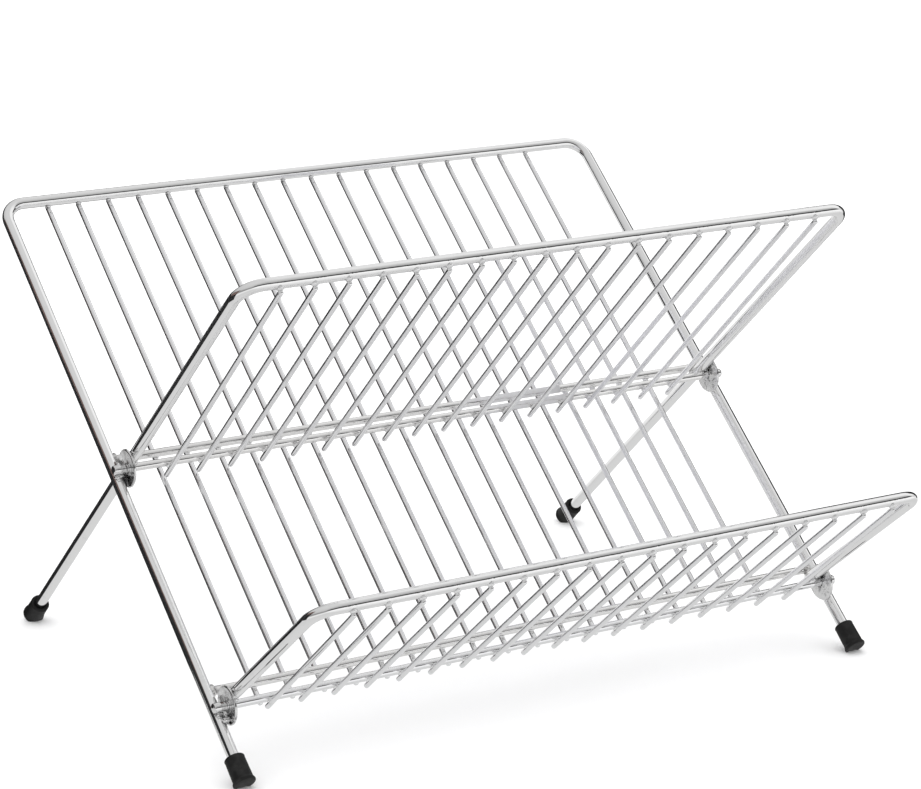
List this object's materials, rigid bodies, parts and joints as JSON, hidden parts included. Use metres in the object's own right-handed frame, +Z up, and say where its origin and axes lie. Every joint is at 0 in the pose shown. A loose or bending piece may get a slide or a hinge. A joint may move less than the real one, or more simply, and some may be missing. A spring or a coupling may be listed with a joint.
{
  "type": "folding dish drying rack",
  "caption": "Free-standing folding dish rack of chromed wire: an X of two wire panels that stands plates on edge, with a hinged lower basket and rubber feet.",
  "frame": {"origin": "centre of the open rack's outline, at counter level", "axes": "+X along the rails, towards the right as seen from the basket side; -Y towards the basket (front); +Z up"},
  "size_m": [0.4334, 0.3918, 0.2813],
  "materials": {
    "frame_chrome": "bright chrome plate over steel rod",
    "bar_chrome": "bright chrome plate over steel rod",
    "wire_chrome": "bright chrome plate over steel wire",
    "hinge_chrome": "chrome plate, slightly duller at the welds",
    "foot_rubber": "matte black rubber"
  },
  "bodies": {
    "back_panel": {"back_frame": "frame_chrome", "back_stop_bar": "bar_chrome", "back_lower_bar": "bar_chrome", "back_wire_01": "wire_chrome", "back_wire_02": "wire_chrome", "back_wire_03": "wire_chrome", "back_wire_04": "wire_chrome", "back_wire_05": "wire_chrome", "back_wire_06": "wire_chrome", "back_wire_07": "wire_chrome", "back_wire_08": "wire_chrome", "back_wire_09": "wire_chrome", "back_wire_10": "wire_chrome", "back_wire_11": "wire_chrome", "back_wire_12": "wire_chrome", "back_wire_13": "wire_chrome", "back_wire_14": "wire_chrome", "back_wire_15": "wire_chrome", "back_wire_16": "wire_chrome", "back_wire_17": "wire_chrome", "back_wire_18": "wire_chrome", "upper_sleeve_left": "hinge_chrome", "upper_sleeve_right": "hinge_chrome", "lower_sleeve_left": "hinge_chrome", "lower_sleeve_right": "hinge_chrome", "front_foot_left": "foot_rubber", "front_foot_right": "foot_rubber"},
    "cross_panel": {"cross_frame": "frame_chrome", "cross_pivot_bar": "bar_chrome", "cross_wire_01": "wire_chrome", "cross_wire_02": "wire_chrome", "cross_wire_03": "wire_chrome", "cross_wire_04": "wire_chrome", "cross_wire_05": "wire_chrome", "cross_wire_06": "wire_chrome", "cross_wire_07": "wire_chrome", "cross_wire_08": "wire_chrome", "cross_wire_09": "wire_chrome", "cross_wire_10": "wire_chrome", "cross_wire_11": "wire_chrome", "cross_wire_12": "wire_chrome", "cross_wire_13": "wire_chrome", "cross_wire_14": "wire_chrome", "cross_wire_15": "wire_chrome", "cross_wire_16": "wire_chrome", "cross_wire_17": "wire_chrome", "cross_wire_18": "wire_chrome", "upper_disc_left": "hinge_chrome", "upper_disc_right": "hinge_chrome", "rear_foot_left": "foot_rubber", "rear_foot_right": "foot_rubber"},
    "cup_basket": {"basket_frame": "frame_chrome", "basket_comb": "wire_chrome", "lower_disc_left": "hinge_chrome", "lower_disc_right": "hinge_chrome", "stop_pin_left": "hinge_chrome", "stop_pin_right": "hinge_chrome"}
  },
  "joints": [
    {"name": "cross_panel_hinge", "type": "hinge", "parent": "back_panel", "child": "cross_panel", "pos_m": [0, 0.02916, 0.14238], "axis": [-1, 0, 0], "range_deg": [0, 84]},
    {"name": "basket_hinge", "type": "hinge", "parent": "back_panel", "child": "cup_basket", "pos_m": [0, -0.09532, 0.03792], "axis": [-1, 0, 0], "range_deg": [0, 90]}
  ]
}
